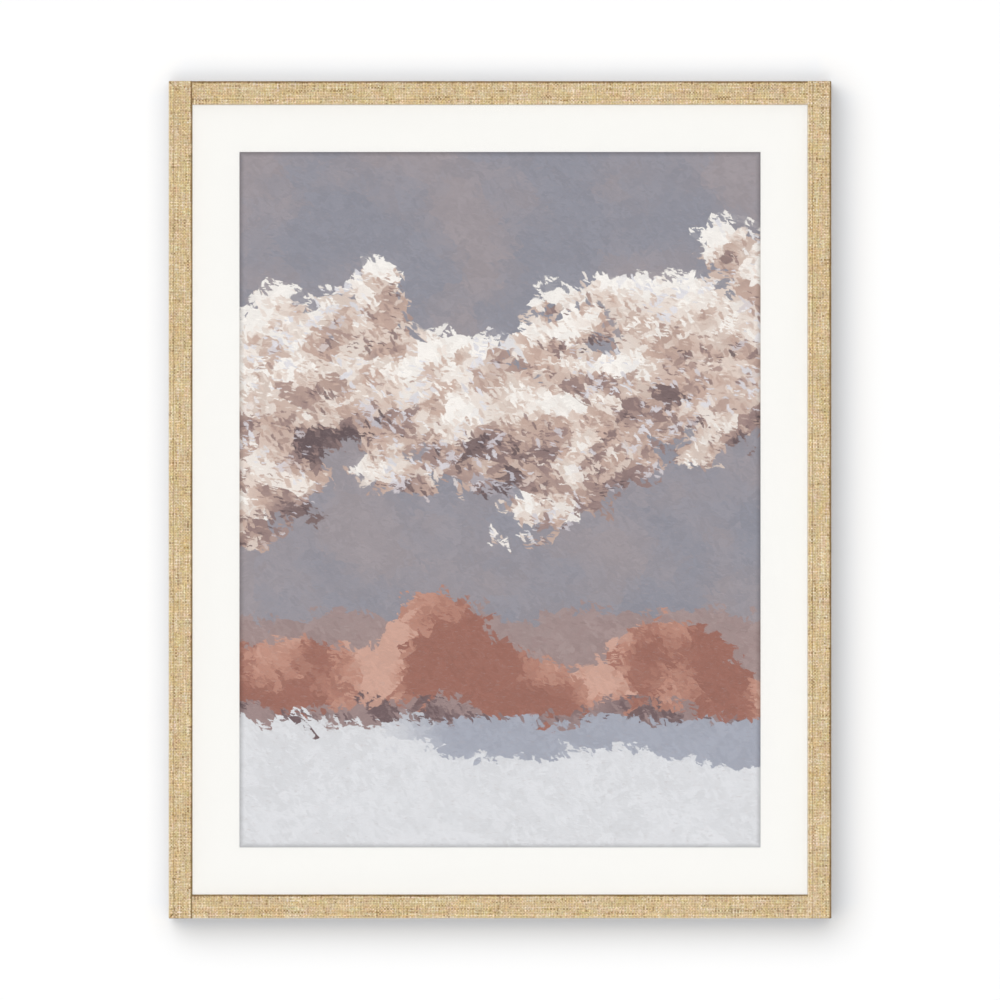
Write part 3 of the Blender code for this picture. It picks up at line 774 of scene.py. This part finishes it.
def addPrint():
    low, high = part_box("art_print")
    bm = bmesh.new()
    bm.loops.layers.uv.new("OFBake")
    bmesh.ops.create_grid(bm, x_segments=28, y_segments=36, size=0.5)
    for vert in bm.verts:  # the sheet cockles by a hair's breadth
        x, z = vert.co.x, vert.co.y
        wave = 0.5 + 0.25 * math.sin(9 * x + 4 * z) + 0.25 * math.sin(5 * x - 11 * z + 1.0)
        calm = min(1.0, (0.5 - max(abs(x), abs(z))) * 12)
        rise = low.y + sheetTones["cockle"] * wave * calm
        vert.co = (low.x + (0.5 + x) * (high.x - low.x), rise, low.z + (0.5 + z) * (high.z - low.z))
    grown = bmesh.ops.extrude_face_region(bm, geom=list(bm.faces), use_keep_orig=True)["geom"]
    for item in grown:
        if isinstance(item, bmesh.types.BMVert):
            item.co.y = high.y
    bmesh.ops.recalc_face_normals(bm, faces=bm.faces)
    layer = bm.loops.layers.uv["OFBake"]
    for item in bm.faces:
        seen = item.normal.y < -0.5
        for loop in item.loops:
            u = (loop.vert.co.x - low.x) / (high.x - low.x)
            v = (loop.vert.co.z - low.z) / (high.z - low.z)
            if seen:
                loop[layer].uv = (0.002 + u * 0.9, 0.002 + v * 0.996)
            elif item.normal.y > 0.5:
                loop[layer].uv = (0.91 + u * 0.05, 0.002 + v * 0.9)
            else:
                behind = loop.vert.co.y > low.y + 0.0003
                loop[layer].uv = (0.97 + u * 0.012 + behind * 0.01, 0.002 + v * 0.9)
    sheet = meshFrom(bm, "art_print_sheet", 60)
    addPiece("art_print_sheet", sheet, [printedPaper()], "art_print", slot="printed_paper")


addPrint()
print("mat and print done")


hardTones = {
    "glassThrough": (0.996, 0.999, 0.997, 1.0),
    "pine": (0.70, 0.52, 0.31, 1.0), "pineLate": (0.47, 0.27, 0.12, 1.0),
    "beech": (0.70, 0.52, 0.34, 1.0), "beechFleck": (0.52, 0.34, 0.19, 1.0),
    "board": (0.36, 0.22, 0.125, 1.0), "boardDark": (0.19, 0.105, 0.055, 1.0),
    "steel": (0.56, 0.565, 0.57, 1.0), "steelSpot": (0.36, 0.35, 0.34, 1.0),
    "brass": (0.78, 0.60, 0.30, 1.0), "tarnish": (0.55, 0.38, 0.17, 1.0),
    "tape": (0.90, 0.87, 0.78, 1.0), "tapeDark": (0.80, 0.75, 0.62, 1.0),
    "rubber": (0.74, 0.74, 0.70, 1.0), "dust": (0.55, 0.53, 0.49, 1.0),
}


def clearGlass():
    p = Paint("clearGlass")
    smear = p.noise(p.place(), 0.02, 3.0, 0.6)
    through = p.node("ShaderNodeBsdfTransparent", None, {0: hardTones["glassThrough"]})
    inputs = {"Color": (1.0, 1.0, 1.0, 1.0), "Roughness": 0.015 + smear * 0.03}
    gloss = p.node("ShaderNodeBsdfAnisotropic", None, inputs)
    grazing = p.node("ShaderNodeLayerWeight", None, {"Blend": 0.5}, "Facing")  # the same on both faces
    mirror = p.number("POWER", grazing, 5.0) * 0.957 + 0.043
    return p.end(p.node("ShaderNodeMixShader", None, {0: mirror, 1: through, 2: gloss}))


def planedPine(name, level):  # the grain runs up the stiles, and along X in the rails
    p = Paint(name)
    place = p.place()
    if level:
        place = p.node("ShaderNodeMapping", None, {"Vector": place, "Rotation": (0.0, math.radians(90), 0.0)})
    x, y, z = p.split(place)
    sway = p.noise(place * (0.05, 0.05, 0.006), 1.0, 2.0)
    rings = p.number("FRACT", x * 0.22 + y * 0.31 + sway * 5.0)
    late = p.fade(rings, 0.35, 0.92) * p.fade(rings, 0.93, 1.0, 1.0, 0.0)
    fibre = p.noise(place * (2.6, 2.6, 0.05), 1.0, 3.0, 0.65)
    colour = p.mix(late * 0.75, hardTones["pine"], hardTones["pineLate"])
    colour = p.shade(colour, 0.84 + fibre * 0.32)
    return p.close({
        "Base Color": colour, "Roughness": 0.55 + fibre * 0.25, "Specular IOR Level": 0.3,
        "Normal": p.bump(fibre + late * 0.4, 0.0001, 0.5),
    })


def turnedBeech():
    p = Paint("turnedBeech")
    place = p.place()
    fleck = p.noise(place * (0.12, 1.4, 1.4), 1.0, 2.0, 0.6)
    colour = p.mix(p.fade(fleck, 0.45, 0.7), hardTones["beech"], hardTones["beechFleck"])
    normal = p.bump(fleck, 0.00005, 0.5)
    return p.close({"Base Color": colour, "Roughness": 0.5 + fleck * 0.2, "Normal": normal})


def pressedBoard():  # brown hardboard with the screen's print on its rough back
    p = Paint("pressedBoard")
    place = p.place()
    x, y, z = p.split(place)
    fibre = p.noise(place, 0.9, 4.0, 0.7)
    cloud = p.noise(place, 0.025, 3.0)
    screen = abs(p.number("SINE", x * 1.9)) * abs(p.number("SINE", z * 1.9))
    colour = p.mix(p.fade(fibre, 0.3, 0.75), hardTones["boardDark"], hardTones["board"])
    colour = p.shade(colour, 0.78 + cloud * 0.3 + screen * 0.14)
    normal = p.bump(screen * 0.6 + fibre * 0.5, 0.0002, 0.8)
    return p.close({"Base Color": colour, "Roughness": 0.72 + fibre * 0.2, "Normal": normal})


def sheetSteel():
    p = Paint("sheetSteel")
    place = p.place()
    drawn = p.noise(place * (0.6, 4.0, 4.0), 1.0, 3.0, 0.6)
    spot = p.noise(place, 0.7, 3.0, 0.6)
    colour = p.mix(p.fade(spot, 0.55, 0.8) * 0.5, hardTones["steel"], hardTones["steelSpot"])
    return p.close({
        "Base Color": colour, "Metallic": 1.0, "Roughness": 0.26 + drawn * 0.25,
        "Normal": p.bump(drawn, 0.00002, 0.5),
    })


def brassPlate():
    p = Paint("brassPlate")
    place = p.place()
    drawn = p.noise(place * (0.3, 3.0, 3.0), 1.0, 3.0, 0.6)
    tarnish = p.noise(place, 0.22, 4.0, 0.6)
    colour = p.mix(p.fade(tarnish, 0.45, 0.75), hardTones["brass"], hardTones["tarnish"])
    return p.close({
        "Base Color": colour, "Metallic": 1.0, "Roughness": 0.22 + drawn * 0.18 + tarnish * 0.12,
        "Normal": p.bump(drawn, 0.00002, 0.5),
    })


def gumTape():
    p = Paint("gumTape")
    fibre = p.noise(p.place(), 1.1, 4.0, 0.65)
    colour = p.mix(p.fade(fibre, 0.3, 0.7), hardTones["tapeDark"], hardTones["tape"])
    normal = p.bump(fibre, 0.00004, 0.5)
    return p.close({"Base Color": colour, "Roughness": 0.7 + fibre * 0.2, "Normal": normal})


def bumperRubber():
    p = Paint("bumperRubber")
    haze = p.noise(p.place(), 0.5, 3.0)
    dust = p.noise(p.place(), 2.5, 2.0)
    colour = p.mix(p.fade(dust, 0.6, 0.75) * 0.4, hardTones["rubber"], hardTones["dust"])
    normal = p.bump(haze, 0.00004, 0.4)
    return p.close({"Base Color": colour, "Roughness": 0.3 + haze * 0.25, "Normal": normal})


pineUp, pineLevel = planedPine("pineUpright", False), planedPine("pineLevel", True)
carried = {
    "left_stile": pineUp, "right_stile": pineUp, "top_rail": pineLevel, "bottom_rail": pineLevel,
    "glazing": clearGlass(), "print_tape_left": gumTape(),
}
carried["print_tape_right"] = carried["print_tape_left"]
beech = turnedBeech()
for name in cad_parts:
    if name.startswith("dowel"):
        carried[name] = beech
for name, paint in carried.items():
    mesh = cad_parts[name].data
    mesh.materials.clear()
    mesh.materials.append(paint)

backing = meshFrom(softened("backing_board", 0.0003), "backing_sheet")
addPiece("backing_sheet", backing, [pressedBoard()], "backing_board", slot="hardboard")
print("glass, wood and backing done")


fastening = {
    "pointEdge": 0.00009,
    "hangerEdge": 0.00014,
    "nailHead": 0.002,  # radii
    "nailShank": 0.0008,
    "nailHeadThick": 0.0008,
    "bumperRound": 0.0011,
}


def addFastenings():
    steel, brass, rubber = sheetSteel(), brassPlate(), bumperRubber()
    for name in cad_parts:
        if name.startswith("point_"):
            mesh = meshFrom(softened(name, fastening["pointEdge"]), "steel_" + name)
            addPiece("steel_" + name, mesh, [steel], name, slot="steel")
    mesh = meshFrom(softened("sawtooth_hanger", fastening["hangerEdge"]), "hanger_plate")
    addPiece("hanger_plate", mesh, [brass], "sawtooth_hanger", slot="plated_steel")

    for name in ("hanger_nail_left", "hanger_nail_right"):
        low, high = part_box(name)
        x, z = (low.x + high.x) / 2, (low.z + high.z) / 2
        head, shank = fastening["nailHead"], fastening["nailShank"]
        under = high.y - fastening["nailHeadThick"]
        profile = [(0.0, high.y), (head * 0.45, high.y - 0.00006), (head * 0.8, high.y - 0.00022)]
        profile += [(head * 0.97, high.y - 0.00045), (head, high.y - 0.00062), (head * 0.97, under)]
        profile += [(shank, under), (shank, low.y + 0.002), (shank * 0.55, low.y + 0.0009), (0.0, low.y)]
        mesh = meshFrom(turned(profile, x, z, 28), name + "_turned", 50)
        addPiece(name + "_turned", mesh, [brass], name, slot="plated_steel")

    for name in ("bumper_left", "bumper_right"):
        low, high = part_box(name)
        x, z = (low.x + high.x) / 2, (low.z + high.z) / 2
        radius = (high.x - low.x) / 2
        bend = fastening["bumperRound"]
        profile = [(0.0, high.y)] + arcPoints(radius - bend, high.y - bend, bend, 90, 0, 8)
        profile += [(radius - 0.0001, low.y + 0.0001), (radius - 0.0002, low.y), (0.0, low.y)]
        mesh = meshFrom(turned(profile, x, z, 48), name + "_dome", 50)
        addPiece(name + "_dome", mesh, [rubber], name, slot="bumper_rubber")


def turned(profile, x, z, sides):  # a profile of (radius, y) spun about an axis along Y
    bm = bmesh.new()
    verts = [bm.verts.new((x + radius, y, z)) for radius, y in profile]
    edges = [bm.edges.new(pair) for pair in zip(verts, verts[1:])]
    bmesh.ops.spin(
        bm, geom=verts + edges, cent=(x, 0, z), axis=(0, 1, 0), angle=math.tau, steps=sides, use_merge=True
    )
    bmesh.ops.remove_doubles(bm, verts=bm.verts, dist=1e-6)
    bmesh.ops.recalc_face_normals(bm, faces=bm.faces)
    return bm


addFastenings()
print("fastenings done")


stage = {
    "floor": -1.2,
    "wallWide": 1.7,
    # each sun's strength, degrees across, and the degrees to the right and up that it comes from
    "key": (3.35, 10, -2, 2),
    "front": 3930.0,  # watts, beside the camera
    "left": (1.0, 40, -80, 15),
    "right": (1.0, 40, 80, 15),
    "wall": (2.01, 102, -9, 5.2),
    "wallUpper": (0.77, 52, -22.2, 26),
    "wallLower": (0.234, 21, 0.9, -14.8),
    "wallTint": (0.885, 0.93, 1.0, 1.0),  # offsets the warm light that the cloth throws on the wall
    "tintReach": (-21.0, 21.0),  # millimetres beyond the frame
    "tintEase": -13.0,  # and how far from a corner it begins to fade
    "tintBelow": 2.5,  # how much sooner it fades under the frame, where less of that light falls
    "back": (2.2, 40, -25, 30),
    "fill": 0.15,
    "lens": 400.0,
    "pixel": 0.0008764,  # metres a pixel at the frame's face
}


away = stage["pixel"] * 1000 * stage["lens"] / 36.0
# The frame's middle is 0.3 pixel above the photo's
eyeSpot = (0.0, front - away, middle - 0.3 * stage["pixel"])


def panel(name, size, place, turn):
    bm = bmesh.new()
    bmesh.ops.create_grid(bm, x_segments=2, y_segments=2, size=1.0)
    bmesh.ops.scale(bm, vec=(*size, 1.0), verts=bm.verts)
    bmesh.ops.transform(bm, matrix=Matrix.Translation(place) @ turn, verts=bm.verts)
    mesh = bpy.data.meshes.new(name)
    bm.to_mesh(mesh)
    bm.free()
    made = bpy.data.objects.new(name, mesh)
    bpy.context.scene.collection.objects.link(made)
    return made


def stagePaint(name, colour, glow, oneSided):
    p = Paint(name)
    place = p.place()
    mottle = p.noise(place, 0.004, 2.0)
    if oneSided:
        x, y, z = p.split(place)
        above, below = z - boxHigh[2] * 1000.0, boxLow[2] * 1000.0 - z
        below = p.number("MAXIMUM", below, below * stage["tintBelow"])
        upward = p.number("MAXIMUM", p.number("MAXIMUM", above, below), stage["tintEase"])
        sideways = p.number("MAXIMUM", abs(x) - halfWide * 1000.0, stage["tintEase"])
        colour = p.mix(p.fade(upward + sideways, *stage["tintReach"]), stage["wallTint"], colour)
    matte = p.node("ShaderNodeBsdfDiffuse", None, {"Color": p.shade(colour, 0.99 + mottle * 0.01)})
    lift = p.node("ShaderNodeEmission", None, {"Color": (1.0, 1.0, 1.0, 1.0), "Strength": glow})
    surface = p.node("ShaderNodeAddShader", None, {0: matte, 1: lift})
    if oneSided:  # from behind the wall is clear, so that the frame's back shows
        back = p.node("ShaderNodeNewGeometry", None, None, "Backfacing")
        clear = p.node("ShaderNodeBsdfTransparent", None, {0: (1.0, 1.0, 1.0, 1.0)})
        surface = p.node("ShaderNodeMixShader", None, {0: back, 1: surface, 2: clear})
    p.material.cycles.emission_sampling = "NONE"  # the floor's glow lights nothing, and this saves time
    return p.end(surface)


def setStage():
    paint = stagePaint("floorPaint", (0.86, 0.86, 0.86, 1.0), 0.42, False)
    for side in (-1, 1):
        floor = panel("studio_floor", (9.0, 4.5), (0, side * 4.5, stage["floor"]), Matrix.Identity(4))
        floor.data.materials.append(paint)
        floor.visible_diffuse = False
        floor.visible_shadow = False
        floor.visible_glossy = side > 0  # the glass would show the front half's edge as a line
    wide = stage["wallWide"]
    facing = Matrix.Rotation(math.radians(90), 4, "X")
    wall = panel("studio_wall", (wide, wide), (0, 0.0005, stage["floor"] + wide), facing)
    wall.data.materials.append(stagePaint("wallPaint", (0.97, 0.97, 0.97, 1.0), 0.0, True))
    wall.visible_shadow = False
    wall.visible_diffuse = False
    wall.visible_glossy = False

    world = bpy.data.worlds.new("studio")
    bpy.context.scene.world = world
    world.use_nodes = True
    nodes, links = world.node_tree.nodes, world.node_tree.links
    nodes.clear()
    seen = nodes.new("ShaderNodeLightPath")
    plain, pale = nodes.new("ShaderNodeBackground"), nodes.new("ShaderNodeBackground")
    plain.inputs[1].default_value = stage["fill"]
    plain.inputs[0].default_value = (1.0, 1.0, 1.0, 1.0)
    pale.inputs[0].default_value = (0.9, 0.9, 0.9, 1.0)
    choose, out = nodes.new("ShaderNodeMixShader"), nodes.new("ShaderNodeOutputWorld")
    links.new(seen.outputs["Is Camera Ray"], choose.inputs[0])
    links.new(plain.outputs[0], choose.inputs[1])
    links.new(pale.outputs[0], choose.inputs[2])
    links.new(choose.outputs[0], out.inputs[0])

    def lamp(light, only, never):
        made = bpy.data.objects.new(light.name, light)
        bpy.context.scene.collection.objects.link(made)
        lit = bpy.data.collections.new(light.name + "_lit")
        for thing in (*only, *never):
            lit.objects.link(thing)
        for entry in lit.collection_objects:
            entry.light_linking.link_state = "INCLUDE" if only else "EXCLUDE"
        made.light_linking.receiver_collection = lit
        return made

    def sun(kind, behind=False, only=(), never=()):
        strength, spread, right, up = stage[kind]
        light = bpy.data.lights.new(kind + "_light", "SUN")
        light.energy = strength
        light.angle = math.radians(spread)
        made = lamp(light, only, never)
        side = 1 if behind else -1
        a, e = math.radians(right), math.radians(up)
        toward = Vector((math.sin(a), side * math.cos(a) * math.cos(e), math.sin(e)))
        made.rotation_euler = toward.to_track_quat("Z", "Y").to_euler()
        made.visible_glossy = behind

    # The wall has its own softer lights, which cast the frame's shadow. The sunk sheets are lit from the
    # camera's place, and the two side lights show the cloth's relief.
    sunk = [bpy.data.objects["window_mat_board"], bpy.data.objects["art_print_sheet"]]
    sun("key", never=[wall, *sunk])
    headOn = bpy.data.lights.new("front_light", "POINT")
    headOn.energy = stage["front"]
    headOn.shadow_soft_size = 0.1
    made = lamp(headOn, sunk, ())
    made.location = eyeSpot
    made.visible_glossy = False
    sun("left", never=[wall, *sunk])
    sun("right", never=[wall, *sunk])
    for kind in ("wall", "wallUpper", "wallLower"):
        sun(kind, only=[wall])
    sun("back", behind=True, never=[wall])


def setCamera():
    camera = bpy.data.cameras.new("camera")
    camera.lens = stage["lens"]
    camera.sensor_width = 36.0
    camera.clip_end = 60.0
    eye = bpy.data.objects.new("camera", camera)
    bpy.context.scene.collection.objects.link(eye)
    eye.location = eyeSpot
    eye.rotation_euler = (math.radians(90), 0, 0)
    bpy.context.scene.camera = eye
    bpy.context.scene.view_settings.view_transform = "Standard"


setStage()
setCamera()
print("stage, light and camera done")
